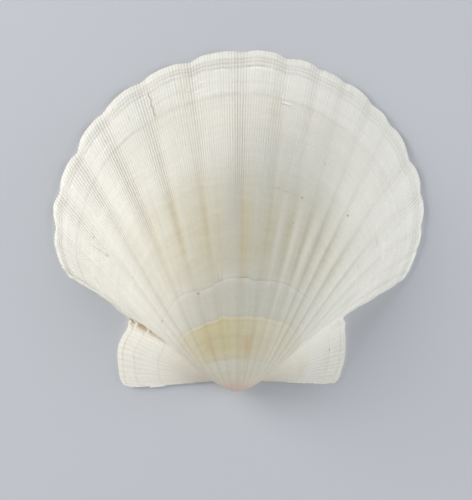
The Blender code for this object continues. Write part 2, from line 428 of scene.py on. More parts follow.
# under the hinge: a pit for the spring, low grooves along the plate, and the muscle's scar
hinge = {
    "pitDepth": 1.5,
    "pitHalfWidth": 2.6,
    "pitMiddle": 1.6,
    "pitReach": 2.4,
    "plateStarts": (-3.5, -2.0),
    "plateEnds": (3.6, 2.6),
    "grooveDepth": 0.22,
    "groovesPerMm": 0.55,
    "grooveSlant": 0.045,
    "grooveStarts": (3.5, 8),
    "grooveEnds": (34, 24),
    "scarMiddle": (5.0, 58.0),
    "scarReach": (17.0, 20.0),
    "scarEdge": (1.05, 0.97),
    "scarDepth": 0.22,
}


def hingeDetail(p):
    x, y = p[:, 0], p[:, 1]
    off = np.abs(x)
    onPlate = ease(*hinge["plateStarts"], y) * ease(*hinge["plateEnds"], y)
    half = hinge["pitHalfWidth"] * np.clip(0.35 + 0.3 * (y + 1), 0.3, 1.6)  # the pit widens inwards
    pit = hinge["pitDepth"] * np.exp(-(x / half) ** 4)
    pit *= np.exp(-((y - hinge["pitMiddle"]) / hinge["pitReach"]) ** 4)
    slanted = y - hinge["grooveSlant"] * off
    grooves = 0.5 - 0.5 * np.cos(2 * np.pi * hinge["groovesPerMm"] * slanted + 0.6)
    along = ease(*hinge["grooveStarts"], off) * ease(*hinge["grooveEnds"], off)
    middle, reach = hinge["scarMiddle"], hinge["scarReach"]
    away = np.hypot((x - middle[0]) / reach[0], (y - middle[1]) / reach[1])
    scar = hinge["scarDepth"] * ease(*hinge["scarEdge"], away + 0.03 * softNoise(x * 0.12, y * 0.12))
    return pit + hinge["grooveDepth"] * grooves * along * onPlate + scar


def placeInner(ray, size):
    start, inStart = valve["smallest"], wall["innerSmallest"]
    inSize = inStart + (1 - inStart) * (size - start) / (1 - start)
    crest, breadth = ribShape(ray, size)
    ribs = (crest - 0.5) * breadth * relief["archRise"] * relief["innerRibShare"] * inSize**4
    p = drawIn(smoothBack(ray, inSize) + outward(ray, inSize) * ribs[:, None])
    p[:, 2] += np.where(size < 1, hingeDetail(p), 0)
    atEdge = size >= 1
    if atEdge.any():
        edge = placeOuter(ray[atEdge], size[atEdge])
        edge[:, 2] = 0
        p[atEdge] = drawIn(edge)
    p[:, 2] = np.where(atEdge, archHeight(ray), p[:, 2])
    p[size <= 0] = (0, wall["hingePlate"], 0)
    return p


def placeRim(ray, size):
    p = placeOuter(ray, size)
    p[:, 2] = np.where(size >= 1, archHeight(ray), 0)
    return p


# the chart: the valve laid out flat, ray along x and growth along y
chart = {
    "column": 2.0,  # degrees of ray between columns at the beak
    "outerSplits": ((0.12, 166), (0.27, 166), (0.50, 108)),  # from that size, out to that ray, columns double
    "innerSplits": ((0.955, 166), (0.975, 166), (0.99, 108)),
    "earlyEnd": 0.30,  # the rows widen up to this size and are even after it
    "earlySteps": 12,
    "earlyBend": 1.2,
    "rowStep": 0.021,
    "restRows": (-1.2, -0.35, 0),  # rows at each rest, in lengths of its slope
    "afterRest": 0.0022,
    "closest": 0.0045,
    "levelGap": 1e-7,
}


def growthSizes():
    # even rows, with finer ones at each rest
    start, end = valve["smallest"], chart["earlyEnd"]
    early = start + (end - start) * np.linspace(0, 1, chart["earlySteps"]) ** chart["earlyBend"]
    late = np.linspace(end, 1, int((1 - end) / chart["rowStep"]) + 1)
    fine = [at + row * slope for at, rise, slope in rests for row in chart["restRows"]]
    fine += [at + chart["afterRest"] for at, rise, slope in rests]
    rows = sorted([*early, *late[1:], *fine])
    kept = [rows[0]]
    for size in rows[1:]:
        close = size - kept[-1] < chart["closest"]
        if not close or size in fine or size == 1:
            if close and kept[-1] not in fine and len(kept) > 1:
                kept.pop()
            kept.append(size)
    return [float(np.float32(size)) for size in kept]


def isLevel(edge):
    first, second = edge.verts
    return abs(first.co.y - second.co.y) < chart["levelGap"]


def middleRay(edge):
    first, second = edge.verts
    return first.co.x + second.co.x


def laySheet(bm, sizes, splits, level):
    # one edge, cut into columns and extruded one growth line at a time
    reach = valve["hingeEnd"]
    ends = [bm.verts.new((x, sizes[0], level)) for x in (-reach, reach)]
    edge = bm.edges.new(ends)
    count = int(2 * reach / chart["column"])
    bmesh.ops.subdivide_edges(bm, edges=[edge], cuts=count - 1)
    row = [e for e in bm.edges if all(v.co.z == level for v in e.verts)]
    first = list(row)
    waiting = list(splits)
    for last, size in zip(sizes, sizes[1:]):
        grown = bmesh.ops.extrude_edge_only(bm, edges=row)["geom"]
        verts = [g for g in grown if isinstance(g, bmesh.types.BMVert)]
        bmesh.ops.translate(bm, verts=verts, vec=(0, size - last, 0))
        for v in verts:
            v.co.y = size
        new = set(verts)
        row = [g for g in grown if isinstance(g, bmesh.types.BMEdge) and set(g.verts) <= new]
        if waiting and size >= waiting[0][0]:
            limit = waiting.pop(0)[1]
            near = [e for e in row if max(abs(v.co.x) for v in e.verts) <= limit]
            halves = bmesh.ops.subdivide_edges(bm, edges=near, cuts=1)["geom_inner"]
            added = [g for g in halves if isinstance(g, bmesh.types.BMVert)]
            halved = {e for v in added for e in v.link_edges if isLevel(e)}
            whole = {e for e in row if e.is_valid and e not in near}
            row = sorted(halved | whole, key=middleRay)  # the same order in every run
    return first


def extrudeUp(bm, edges):
    grown = bmesh.ops.extrude_edge_only(bm, edges=edges)["geom"]
    verts = [g for g in grown if isinstance(g, bmesh.types.BMVert)]
    bmesh.ops.translate(bm, verts=verts, vec=(0, 0, 1))
    new = set(verts)
    return [g for g in grown if isinstance(g, bmesh.types.BMEdge) and set(g.verts) <= new]


def layChart(bm):
    # the outside at level 0 and the inside at level 2, joined by two steps round the rim
    sizes = growthSizes()
    print("growth lines:", len(sizes))
    first = laySheet(bm, sizes, chart["outerSplits"], 0)
    grown = bmesh.ops.extrude_edge_only(bm, edges=first)["geom"]
    tip = [g for g in grown if isinstance(g, bmesh.types.BMVert)]
    bmesh.ops.pointmerge(bm, verts=tip, merge_co=(0, 0, 0))
    laySheet(bm, sizes, chart["innerSplits"], 2)
    outerEdge = [e for e in bm.edges if e.is_boundary and e.verts[0].co.z == 0]
    extrudeUp(bm, extrudeUp(bm, outerEdge))
    bmesh.ops.remove_doubles(bm, verts=[v for v in bm.verts if v.co.z == 2], dist=1e-4)
    bmesh.ops.holes_fill(bm, edges=[e for e in bm.edges if e.is_boundary])


# soft tints on the outside: ray, size, half reach of each, strength
tints = {
    "ochre": (
        # yellow and ochre stains; the narrow bands from 22.3 to 71 near size 0.53 are painted shade on the
        # left flank of each right rib
        (6.2, 0.52, 4.0, 0.095, 1.0), (4.4, 0.50, 1.6, 0.10, 0.5), (16, 0.50, 7, 0.07, 0.45),
        (22.3, 0.53, 3.2, 0.085, 0.75), (33, 0.53, 2.7, 0.085, 0.70), (43, 0.53, 2.7, 0.085, 0.42),
        (53, 0.53, 3.2, 0.085, 0.25), (62, 0.53, 3, 0.06, 0.35), (71, 0.53, 2.5, 0.07, 0.35),
        (-38, 0.56, 2.4, 0.11, 0.72), (-46, 0.51, 8, 0.065, 0.36), (-25, 0.52, 7, 0.09, 0.42),
        (-19.5, 0.55, 2.0, 0.10, 0.4), (-12, 0.50, 5, 0.06, 0.3), (-54, 0.58, 1.6, 0.10, 0.35),
        (16, 0.83, 2.2, 0.05, 0.35), (-21.5, 0.90, 2.6, 0.045, 0.30), (-33.5, 0.88, 2.0, 0.05, 0.22),
        (68, 0.85, 2.0, 0.03, 0.2), (152, 0.60, 9, 0.035, 0.5), (100, 0.60, 5, 0.04, 0.3),
        (-103, 0.56, 4, 0.05, 0.35),
    ),
    "rust": (
        (14.5, 0.236, 5, 0.015, 1.0), (16.5, 0.226, 1.6, 0.012, 0.35), (-43, 0.250, 6, 0.022, 0.55),
        (-38, 0.225, 3, 0.014, 0.35), (-3, 0.262, 14, 0.004, 0.22), (2, 0.236, 7, 0.006, 0.25),
        (21, 0.268, 4, 0.008, 0.25), (15, 0.19, 2.5, 0.03, 0.16), (150, 0.60, 7, 0.06, 0.12),
    ),
    "pale": (
        # pale calcite; the narrow bands from 27.6 to 66 near size 0.50 are painted highlight on the right
        # flank of each right rib
        (-50, 0.52, 15, 0.15, 0.75), (-25, 0.56, 7, 0.12, 0.4), (27.6, 0.50, 2.0, 0.12, 0.4),
        (37.6, 0.50, 2.0, 0.12, 0.8), (47.6, 0.50, 2.0, 0.12, 0.9), (57.6, 0.50, 2.2, 0.12, 0.5),
        (66, 0.50, 2.0, 0.12, 0.4), (-62, 0.42, 8, 0.06, 0.4), (46, 0.34, 17, 0.05, 0.32),
        (42, 0.28, 14, 0.03, 0.25),
    ),
    # painted shade: grey darkening laid over parts of the middle, the sides and the left margin
    "grey": (
        (14, 0.70, 14, 0.10, 0.8), (20, 0.55, 26, 0.16, 0.45), (2, 0.37, 40, 0.05, 0.3),
        (-3, 0.58, 6, 0.12, 0.5), (32, 0.74, 12, 0.14, 0.4), (-54, 0.89, 36, 0.11, 0.46),
        (92, 0.48, 20, 0.16, 0.42), (-98, 0.19, 18, 0.07, 0.6), (0, 0.56, 4, 0.05, 0.25),
        (84, 0.68, 14, 0.09, 0.35), (-80, 0.66, 12, 0.2, 0.22),
    ),
}


def tintStrength(ray, size, spots):
    total = np.zeros_like(ray)
    for atRay, atSize, rayReach, sizeReach, strength in spots:
        away = ((ray - atRay) / rayReach) ** 2
        flatness = 1.6 if atSize > 0.4 else 1  # the later stains have flatter tops
        total += strength * np.exp(-away ** flatness - ((size - atSize) / sizeReach) ** 2)
    return np.clip(total, 0, 1)


def placeChart(bm, shift):
    # every point of the chart goes to its place on the valve, and remembers where it came from
    bm.verts.ensure_lookup_table()
    flat = np.array([v.co for v in bm.verts])
    ray, size, level = flat[:, 0].astype(float), flat[:, 1].astype(float), flat[:, 2]
    size = np.where(size > 0.99999, 1.0, size)
    place = np.zeros((len(flat), 3))
    for number, placer in enumerate((placeOuter, placeRim, placeInner)):
        part = level == number
        place[part] = placer(ray[part], size[part])
    onEar = np.abs(ray) > valve["notch"]
    furrow = np.clip(np.where(onEar, cordStrength(ray, size), ribletStrength(ray, size)), 0, 1.5)
    values = {
        "ray": ray,
        "growth": size,
        "inside": level / 2,
        "crest": ribShape(ray, size)[0],
        "furrow": np.where(level == 0, furrow, 0),
        "riblet": np.where(onEar, cordPlace(ray, size), ribletPlace(ray, size)),
    }
    values.update({name: tintStrength(ray, size, spots) for name, spots in tints.items()})
    layers = [bm.verts.layers.float.new(name) for name in values]
    for v, p, row in zip(bm.verts, place + shift, zip(*values.values())):
        v.co = p * mm
        for layer, value in zip(layers, row):
            v[layer] = value


def chartMap(bm):
    # the bake map is the chart itself: the outside above, the rim and the inside below it
    uv = bm.loops.layers.uv.new("OFBake")
    ray, growth = bm.verts.layers.float["ray"], bm.verts.layers.float["growth"]
    inside = bm.verts.layers.float["inside"]
    for face in bm.faces:
        isOut = all(v[inside] == 0 for v in face.verts)
        isIn = all(v[inside] == 1 for v in face.verts)
        for loop in face.loops:
            v = loop.vert
            across = 0.01 + 0.98 * (v[ray] / valve["hingeEnd"] + 1) / 2
            if isOut:
                up = 0.34 + 0.65 * v[growth]
            elif isIn:
                up = 0.01 + 0.22 * v[growth]
            elif all(w[growth] >= 0.999 for w in face.verts):
                up = 0.25 + 0.03 * v[inside]
            else:
                across = 0.01 + 0.48 * v[growth] + (0.5 if v[ray] > 0 else 0)
                up = 0.29 + 0.03 * v[inside]
            loop[uv].uv = (across, up)


def makeValve():
    bm = bmesh.new()
    layChart(bm)
    early = np.linspace(0.01, 0.5, 200)
    furthestBack = smoothBack(early * 0, early)[:, 1].min()
    low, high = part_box("scallop_valve")
    shift = np.array([0, low.y / mm - furthestBack, 0])
    placeChart(bm, shift)
    bmesh.ops.triangulate(bm, faces=[f for f in bm.faces if len(f.verts) > 4])
    bmesh.ops.recalc_face_normals(bm, faces=bm.faces)
    chartMap(bm)
    mesh = bpy.data.meshes.new("valve")
    bm.to_mesh(mesh)
    bm.free()
    mesh.shade_smooth()
    mesh.set_sharp_from_angle(angle=math.radians(55))
    piece = bpy.data.objects.new("valve", mesh)
    bpy.context.scene.collection.objects.link(piece)
    triangles = sum(len(polygon.vertices) - 2 for polygon in mesh.polygons)
    print("valve:", len(mesh.vertices), "points,", triangles, "triangles")
    return piece


# short ways to write shader nodes
def addNode(tree, kind, inputs, **settings):
    node = tree.nodes.new("ShaderNode" + kind)
    for name, value in settings.items():
        setattr(node, name, value)
    for slot, value in inputs.items():
        if isinstance(value, bpy.types.NodeSocket):
            tree.links.new(value, node.inputs[slot])
        else:
            node.inputs[slot].default_value = value
    return node


def calc(tree, operation, *values):
    return addNode(tree, "Math", dict(enumerate(values)), operation=operation).outputs[0]


def times(tree, first, second):
    return calc(tree, "MULTIPLY", first, second)


def plus(tree, first, second):
    return calc(tree, "ADD", first, second)


def minus(tree, first, second):
    return calc(tree, "SUBTRACT", first, second)


def remap(tree, value, low, high, start=0.0, end=1.0):
    inputs = {0: value, 1: low, 2: high, 3: start, 4: end}
    return addNode(tree, "MapRange", inputs, interpolation_type="SMOOTHSTEP").outputs[0]


def mixed(tree, factor, below, above, blend="MIX"):
    inputs = {0: factor, 6: below, 7: above}
    return addNode(tree, "Mix", inputs, data_type="RGBA", blend_type=blend).outputs[2]


def grain(tree, vector, scale, detail=2.0, roughness=0.5):
    inputs = {"Vector": vector, "Scale": scale, "Detail": detail, "Roughness": roughness}
    return addNode(tree, "TexNoise", inputs).outputs[0]


def shellGrain(tree, on, perRay, perSize, detail=2.0, roughness=0.5):
    # noise that runs along the ribs or along the growth lines
    inputs = {0: times(tree, on.ray, perRay), 1: times(tree, on.growth, perSize)}
    return grain(tree, addNode(tree, "CombineXYZ", inputs).outputs[0], 1.0, detail, roughness)


def spotMask(tree, where, atRay, atSize, rayReach, sizeReach):
    away = addNode(tree, "VectorMath", {0: where, 1: (atRay, atSize, 0)}, operation="SUBTRACT").outputs[0]
    scaled = addNode(tree, "VectorMath", {0: away, 1: (1 / rayReach, 1 / sizeReach, 0)}, operation="MULTIPLY")
    length = addNode(tree, "VectorMath", {0: scaled.outputs[0]}, operation="LENGTH")
    return remap(tree, length.outputs[1], 1.1, 0.6)


def tone(red, green, blue):
    # an ordinary 0-255 colour as the light it reflects
    light = [c / 255 for c in (red, green, blue)]
    return (*((c / 12.92 if c <= 0.04045 else ((c + 0.055) / 1.055) ** 2.4) for c in light), 1)


def keepStops(stops, warmth=(1, 1, 1)):
    # stops that keep a share of the light, with a power for each of red, green and blue
    return [(place, (*(keep**power for power in warmth), 1)) for place, keep in stops]


def rampOf(tree, value, stops):
    node = addNode(tree, "ValToRGB", {0: value})
    ramp = node.color_ramp
    while len(ramp.elements) < len(stops):
        ramp.elements.new(0.5)
    for element, (place, colour) in zip(ramp.elements, stops):
        element.position = place
    for element, (place, colour) in zip(ramp.elements, stops):
        element.color = colour if len(colour) == 4 else tone(*colour)
    return node.outputs[0]


# the calcite: colours from beak to margin, then what is laid over them
calcite = {
    # the middle is darker than the sides: partly the calcite's own tan and grey, partly painted shade where
    # the valve faces straight up
    "middle": (
        (0.050, (214, 192, 173)), (0.105, (213, 200, 181)), (0.135, (211, 203, 185)),
        (0.170, (207, 204, 187)), (0.198, (205, 203, 188)), (0.203, (201, 193, 165)),
        (0.213, (204, 196, 166)), (0.225, (205, 196, 164)), (0.236, (199, 190, 152)),
        (0.256, (202, 192, 157)), (0.262, (197, 187, 151)), (0.272, (202, 193, 156)),
        (0.298, (203, 194, 157)), (0.305, (199, 189, 148)), (0.3100, (210, 201, 164)),
        (0.3135, (214, 207, 177)), (0.3170, (190, 189, 178)), (0.323, (198, 196, 182)),
        # at the rest at 0.40 a light stop, then a dark one: painted highlight and painted shade at its ledge
        (0.385, (200, 198, 184)), (0.3955, (205, 203, 192)), (0.399, (211, 209, 200)),
        (0.4015, (188, 185, 173)), (0.407, (201, 198, 183)), (0.450, (199, 195, 178)),
        (0.560, (199, 195, 178)), (0.630, (205, 202, 187)), (0.668, (213, 210, 198)),
        (0.700, (219, 216, 206)), (0.860, (226, 223, 213)), (0.870, (229, 227, 219)),
        (1.000, (229, 227, 219)),
    ),
    "sides": (
        (0.050, (205, 188, 170)), (0.150, (206, 197, 178)), (0.260, (214, 208, 190)),
        (0.300, (216, 210, 193)), (0.3135, (219, 213, 196)), (0.3175, (217, 212, 198)),
        (0.330, (224, 220, 207)), (0.397, (229, 225, 214)), (0.402, (226, 221, 209)),
        (0.410, (230, 226, 213)), (0.520, (235, 233, 221)), (0.700, (240, 237, 227)),
        (0.860, (237, 235, 226)), (1.000, (237, 235, 227)),
    ),
    # growth lines as how much light they keep; their dark stops at the rests are partly painted shade in the
    # crevice under each ledge
    "lines": (
        (0.000, 1.00), (0.460, 1.00), (0.470, 0.98), (0.475, 1.00), (0.615, 1.00), (0.624, 0.95),
        (0.629, 1.00), (0.658, 1.00), (0.665, 0.96), (0.670, 1.00), (0.755, 1.00), (0.763, 0.96),
        (0.768, 1.00), (0.852, 0.99), (0.863, 0.86), (0.872, 0.98), (0.890, 1.01), (0.904, 0.95),
        (0.909, 1.01), (0.935, 1.01), (0.942, 1.03), (0.9490, 0.80), (0.952, 0.84), (0.9570, 1.00),
        (0.9625, 0.74), (0.965, 0.80), (0.969, 1.02), (0.9740, 0.76), (0.979, 0.99), (0.983, 1.04),
        (1.000, 1.04),
    ),
    # on the ears too the dark stops are partly painted shade under the ledges
    "earLines": (
        (0.000, 1.00), (0.640, 1.00), (0.664, 0.93), (0.674, 1.00), (0.845, 1.00), (0.862, 0.90),
        (0.872, 1.00), (0.948, 1.00), (0.9615, 0.84), (0.968, 0.99), (1.000, 1.02),
    ),
    "beak": (214, 178, 156),
    # ochre and olive are also the colours of painted shade on the right ribs
    "ochre": (194, 177, 132),
    "oliveAndShade": (182, 176, 138),
    "rust": (200, 160, 108),
    # pale is also the colour of painted highlight on the right ribs
    "pale": (228, 224, 209),
    "palePatch": (212, 208, 192),
    # the colour of the painted grey shade
    "grey": (186, 186, 179),
    # the colour of painted shade in the riblet furrows
    "furrow": (176, 172, 160),
    "valley": (205, 194, 172),
    "crease": (172, 144, 106),
    "earEarly": (218, 210, 192),
    "ear": (244, 241, 232),
    # the colour of painted shade in the ear's furrows
    "earFurrow": (206, 196, 172),
    "earOchre": (226, 208, 172),
    "smudge": (168, 164, 140),
    "white": (250, 249, 245),
    "dark": (92, 88, 76),
    "inside": (240, 237, 230),
    "insideHinge": (222, 205, 184),
    "insideMottle": (228, 216, 200),
    "insideLine": (205, 196, 180),
    "scar": (230, 229, 224),
    "scarRing": (196, 186, 168),
    "ligament": (96, 70, 46),
}
# how strongly each is laid on
amounts = {
    "pale": 0.65,
    "grey": 0.4,
    "furrow": 0.28,
    "earFurrow": 0.13,
    "earOchre": 0.5,
    "earShade": 0.8,
    "beak": 0.45,
    "crack": 0.75,
    "scratch": 0.35,
    "dark": 0.75,
    "hingeWarmth": 0.8,
    "insideMottle": 0.35,
    "insideLine": 0.12,
    "scar": 0.7,
    "scarRing": 0.35,
    "ligament": 0.8,
}
# small marks: ray, size, half reach of each, strength
marks = {
    # specks, dents and darker pieces of the rest lines; those along the rest at 0.40 are partly painted shade
    # under its ledge
    "dark": (
        (62.6, 0.676, 0.45, 0.0032, 0.9), (36.2, 0.6255, 0.8, 0.0022, 0.6),
        (-84.5, 0.775, 0.5, 0.004, 0.5), (-82.5, 0.404, 1.5, 0.0022, 0.45),
        (-35.3, 0.3935, 1.4, 0.0048, 0.55), (34.8, 0.556, 0.9, 0.0018, 0.4),
        (19.5, 0.359, 2.0, 0.0015, 0.12), (42.3, 0.741, 1.2, 0.0018, 0.2),
        (-84.7, 0.694, 0.8, 0.007, 0.35), (22, 0.6255, 2.4, 0.0016, 0.25),
        (28, 0.624, 3.0, 0.0014, 0.25), (6, 0.4015, 5.0, 0.0014, 0.3),
        (-15, 0.3995, 4.0, 0.0014, 0.3), (21, 0.4005, 6, 0.0012, 0.2), (147.5, 0.85, 0.8, 0.006, 0.4),
        (20.5, 0.8495, 3.0, 0.0018, 0.35), (7.0, 0.9475, 5.0, 0.0016, 0.2),
    ),
    "smudge": (
        (83.5, 0.74, 2.2, 0.008, 0.16), (83.2, 0.632, 1.2, 0.006, 0.14),
        (-102.5, 0.765, 1.6, 0.022, 0.16), (-45, 0.912, 0.8, 0.010, 0.22),
        (72.7, 0.93, 0.7, 0.006, 0.25), (-77, 0.57, 1.2, 0.003, 0.25), (-151, 0.86, 0.9, 0.006, 0.3),
        (-50, 0.862, 5, 0.002, 0.3),
    ),
    "white": (
        (20.6, 0.855, 2.4, 0.0024, 0.7), (-16.3, 0.931, 1.6, 0.0022, 0.45),
        (-13.8, 0.916, 1.2, 0.0022, 0.4), (-19.5, 0.905, 0.6, 0.005, 0.35),
        (8.5, 0.9425, 6.5, 0.0016, 0.8), (-41.5, 0.896, 1.0, 0.0020, 0.5),
        (-66, 0.846, 2.0, 0.0018, 0.5), (-34.9, 0.951, 0.35, 0.005, 0.9),
        (-15.5, 0.893, 3.0, 0.0018, 0.5), (-38, 0.9445, 3.0, 0.0018, 0.6),
        (-58, 0.893, 4.0, 0.0016, 0.4), (18.6, 0.872, 0.5, 0.008, 0.4),
        (-6, 0.9435, 3.0, 0.0016, 0.5), (-22, 0.953, 2.5, 0.0018, 0.5),
    ),
    "bars": ((-136, 0.935, 9, 0.010, 0.9), (-136, 0.825, 9, 0.008, 0.8), (-136, 0.60, 9, 0.008, 0.9)),
}


def manySpots(tree, where, spots):
    total = 0.0
    for *spot, strength in spots:
        total = calc(tree, "MAXIMUM", total, times(tree, spotMask(tree, where, *spot), strength))
    return total


def crackMask(tree, on, path, sizes, half):
    # a thin line that wanders from side to side of its path
    sway = grain(tree, addNode(tree, "CombineXYZ", {0: times(tree, on.growth, 60.0)}).outputs[0], 1.0, 2.0)
    middle = plus(tree, path, times(tree, minus(tree, sway, 0.5), 2.6))
    off = calc(tree, "ABSOLUTE", minus(tree, on.ray, middle))
    starts = remap(tree, on.growth, sizes[0], sizes[0] + 0.008)
    ends = remap(tree, on.growth, sizes[1], sizes[1] - 0.004)
    return times(tree, remap(tree, off, half, half * 0.3), times(tree, starts, ends))


def laidOn(tree, amount, colour, name, blend="MIX"):
    return mixed(tree, amount, colour, tone(*calcite[name]), blend)


def readShell(tree):
    # what every part of the material reads: where it is on the shell, and the grains
    names = ("ray", "growth", "inside", "crest", "furrow", "riblet", *tints)
    read = {name: addNode(tree, "Attribute", {}, attribute_name=name).outputs["Fac"] for name in names}
    on = SimpleNamespace(**read)
    wave = calc(tree, "COSINE", times(tree, on.riblet, 2 * math.pi))
    on.furrow = times(tree, remap(tree, wave, 0.1, -0.95), on.furrow)
    on.sideways = calc(tree, "ABSOLUTE", on.ray)
    on.place = addNode(tree, "TexCoord", {}).outputs["Object"]
    on.mottle = grain(tree, on.place, 45.0, 4.0, 0.6)
    on.speckle = grain(tree, on.place, 900.0, 3.0, 0.6)
    on.streaks = shellGrain(tree, on, 1.1, 2.5, 3.0, 0.55)
    on.broadStreaks = shellGrain(tree, on, 0.16, 2.0)
    on.fineLines = shellGrain(tree, on, 0.05, 260.0, 3.0, 0.65)
    on.slowLines = shellGrain(tree, on, 0.03, 60.0)
    wobble = times(tree, minus(tree, shellGrain(tree, on, 0.6, 10.0), 0.5), 0.005)
    on.banded = plus(tree, on.growth, wobble)
    broken = remap(tree, shellGrain(tree, on, 0.22, 14.0), 0.30, 0.58, 0.45, 1.0)
    on.broken = times(tree, broken, remap(tree, on.ray, 14.0, 45.0, 1.0, 0.42))
    split = addNode(tree, "SeparateXYZ", {0: on.place})
    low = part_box("scallop_valve")[0].y
    on.across = times(tree, split.outputs[0], 1 / mm)
    on.fromMiddle = calc(tree, "ABSOLUTE", on.across)
    on.fromHinge = times(tree, minus(tree, split.outputs[1], low), 1 / mm)
    on.within = remap(tree, on.inside, 0.35, 0.75)
    return on


def shadeNodes(tree, on):
    # how much lighter or darker each streak, growth line and speckle is
    early = remap(tree, shellGrain(tree, on, 0.33, 1.5), 0.3, 0.7, -0.03, 0.03)
    early = times(tree, early, remap(tree, on.growth, 0.45, 0.33))
    late = remap(tree, on.growth, 0.5, 0.88, 0.12, 1.0)
    fine = times(tree, remap(tree, on.fineLines, 0.25, 0.75, 0.045, -0.045), late)
    keep = plus(tree, remap(tree, on.streaks, 0.2, 0.8, -0.03, 0.03), fine)
    keep = plus(tree, plus(tree, keep, early), remap(tree, on.slowLines, 0.25, 0.75, 0.015, -0.015))
    keep = plus(tree, keep, remap(tree, on.mottle, 0.25, 0.75, -0.02, 0.02))
    keep = plus(tree, keep, remap(tree, on.speckle, 0.3, 0.7, -0.02, 0.02))
    return addNode(tree, "CombineColor", {n: plus(tree, keep, 1.0) for n in range(3)}).outputs[0]


def discNodes(tree, on, shade):
    # the growth bands, darker in the middle than at the sides; the darker middle is partly painted shade
    # where the valve faces straight up
    middle = rampOf(tree, on.banded, calcite["middle"])
    sides = rampOf(tree, on.banded, calcite["sides"])
    offMiddle = plus(tree, on.sideways, times(tree, on.broadStreaks, 16.0))
    colour = mixed(tree, remap(tree, offMiddle, 48.0, 100.0), middle, sides)
    onPatch = times(tree, remap(tree, on.banded, 0.16, 0.215), remap(tree, on.banded, 0.3155, 0.3125))
    palePatch = times(tree, onPatch, remap(tree, on.ray, -20.0, 55.0, 0.0, 0.65))
    colour = laidOn(tree, palePatch, colour, "palePatch")
    # growth lines, whose dark stops are partly painted shade under the ledges
    colour = mixed(tree, on.broken, colour, rampOf(tree, on.banded, keepStops(calcite["lines"])), "MULTIPLY")

    # stains that follow the ribs, with painted highlight and painted shade on the flanks of the right ribs,
    # and grey painted shade
    colour = laidOn(tree, times(tree, on.pale, amounts["pale"]), colour, "pale")
    tanAndShade = times(tree, on.ochre, remap(tree, on.broadStreaks, 0.25, 0.7, 0.65, 1.0))
    tanAndShade = times(tree, tanAndShade, remap(tree, on.slowLines, 0.3, 0.7, 0.45, 0.8))
    # olive towards the right, where it is partly painted shade on the ribs' flanks
    ochre = mixed(tree, remap(tree, on.ray, 0.0, 20.0), tone(*calcite["ochre"]), tone(*calcite["oliveAndShade"]))
    colour = mixed(tree, tanAndShade, colour, ochre)
    rust = times(tree, on.rust, remap(tree, on.mottle, 0.3, 0.65, 0.35, 0.95))
    colour = laidOn(tree, rust, colour, "rust")
    # painted shade: the grey tints darken the colour
    colour = laidOn(tree, times(tree, on.grey, amounts["grey"]), colour, "grey")

    # furrows, valleys, streaks and fine growth lines
    # painted shade: the riblet furrows are darkened
    colour = laidOn(tree, times(tree, on.furrow, amounts["furrow"]), colour, "furrow", "MULTIPLY")
    valley = times(tree, minus(tree, 1.0, on.crest), remap(tree, on.growth, 0.3, 0.5, 0.13, 0.06))
    colour = laidOn(tree, valley, colour, "valley", "MULTIPLY")
    return mixed(tree, 1.0, colour, shade, "MULTIPLY")


def earNodes(tree, on, shade, colour):
    # the ears are paler than the disc
    grown = remap(tree, on.growth, 0.2, 0.75)
    ear = mixed(tree, grown, tone(*calcite["earEarly"]), tone(*calcite["ear"]))
    # the ears' growth lines, partly painted shade under the ledges
    lines = rampOf(tree, on.banded, keepStops(calcite["earLines"], (1, 1.15, 1.5)))
    ear = mixed(tree, on.broken, ear, lines, "MULTIPLY")
    ear = mixed(tree, amounts["earShade"], ear, shade, "MULTIPLY")
    # painted shade: the furrows between the ear's cords are darkened
    ear = laidOn(tree, times(tree, on.furrow, amounts["earFurrow"]), ear, "earFurrow", "MULTIPLY")
    ear = laidOn(tree, times(tree, on.ochre, amounts["earOchre"]), ear, "earOchre")
    colour = mixed(tree, remap(tree, on.sideways, 133.4, 134.6), colour, ear)

    # the brown crease beside the left ear, crossed by pale bars
    beside = minus(tree, -133.0, on.ray)
    width = remap(tree, on.growth, 0.4, 0.9, 4.0, 8.0)
    crease = times(tree, remap(tree, beside, 0.0, 0.6), remap(tree, beside, width, 1.5))
    reach = times(tree, remap(tree, on.growth, 0.15, 0.4, 0.2, 1.0), remap(tree, on.growth, 1.0, 0.97))
    where = addNode(tree, "CombineXYZ", {0: on.ray, 1: on.growth}).outputs[0]
    bars = minus(tree, 1.0, manySpots(tree, where, marks["bars"]))
    stain = remap(tree, grain(tree, on.place, 700.0, 2.0), 0.25, 0.65, 0.45, 0.95)
    brown = times(tree, times(tree, crease, reach), times(tree, bars, stain))
    return laidOn(tree, brown, colour, "crease")


def markNodes(tree, on, colour):
    # the back of the beak is pink
    pink = remap(tree, on.fromHinge, 4.4, 0.8, 0.0, amounts["beak"])
    colour = laidOn(tree, times(tree, pink, remap(tree, on.fromMiddle, 13.0, 7.0)), colour, "beak")

    # small marks with ragged edges
    ragged = minus(tree, grain(tree, on.place, 1500.0, 2.0), 0.5)
    atRay = plus(tree, on.ray, times(tree, ragged, 1.2))
    atSize = plus(tree, on.growth, times(tree, ragged, 0.005))
    where = addNode(tree, "CombineXYZ", {0: atRay, 1: atSize}).outputs[0]
    for name in ("smudge", "white"):
        colour = laidOn(tree, manySpots(tree, where, marks[name]), colour, name)

    # the crack and the scratch
    crack = times(tree, crackMask(tree, on, -34.8, (0.862, 0.956), 0.24), amounts["crack"])
    bent = plus(tree, times(tree, minus(tree, on.growth, 0.69), -34.0), -84.9)
    scratch = times(tree, crackMask(tree, on, bent, (0.686, 0.772), 0.20), amounts["scratch"])
    # dark marks, among them pieces of the rest at 0.40 that are partly painted shade
    dark = calc(tree, "MAXIMUM", manySpots(tree, where, marks["dark"]), calc(tree, "MAXIMUM", crack, scratch))
    return laidOn(tree, times(tree, dark, amounts["dark"]), colour, "dark"), dark


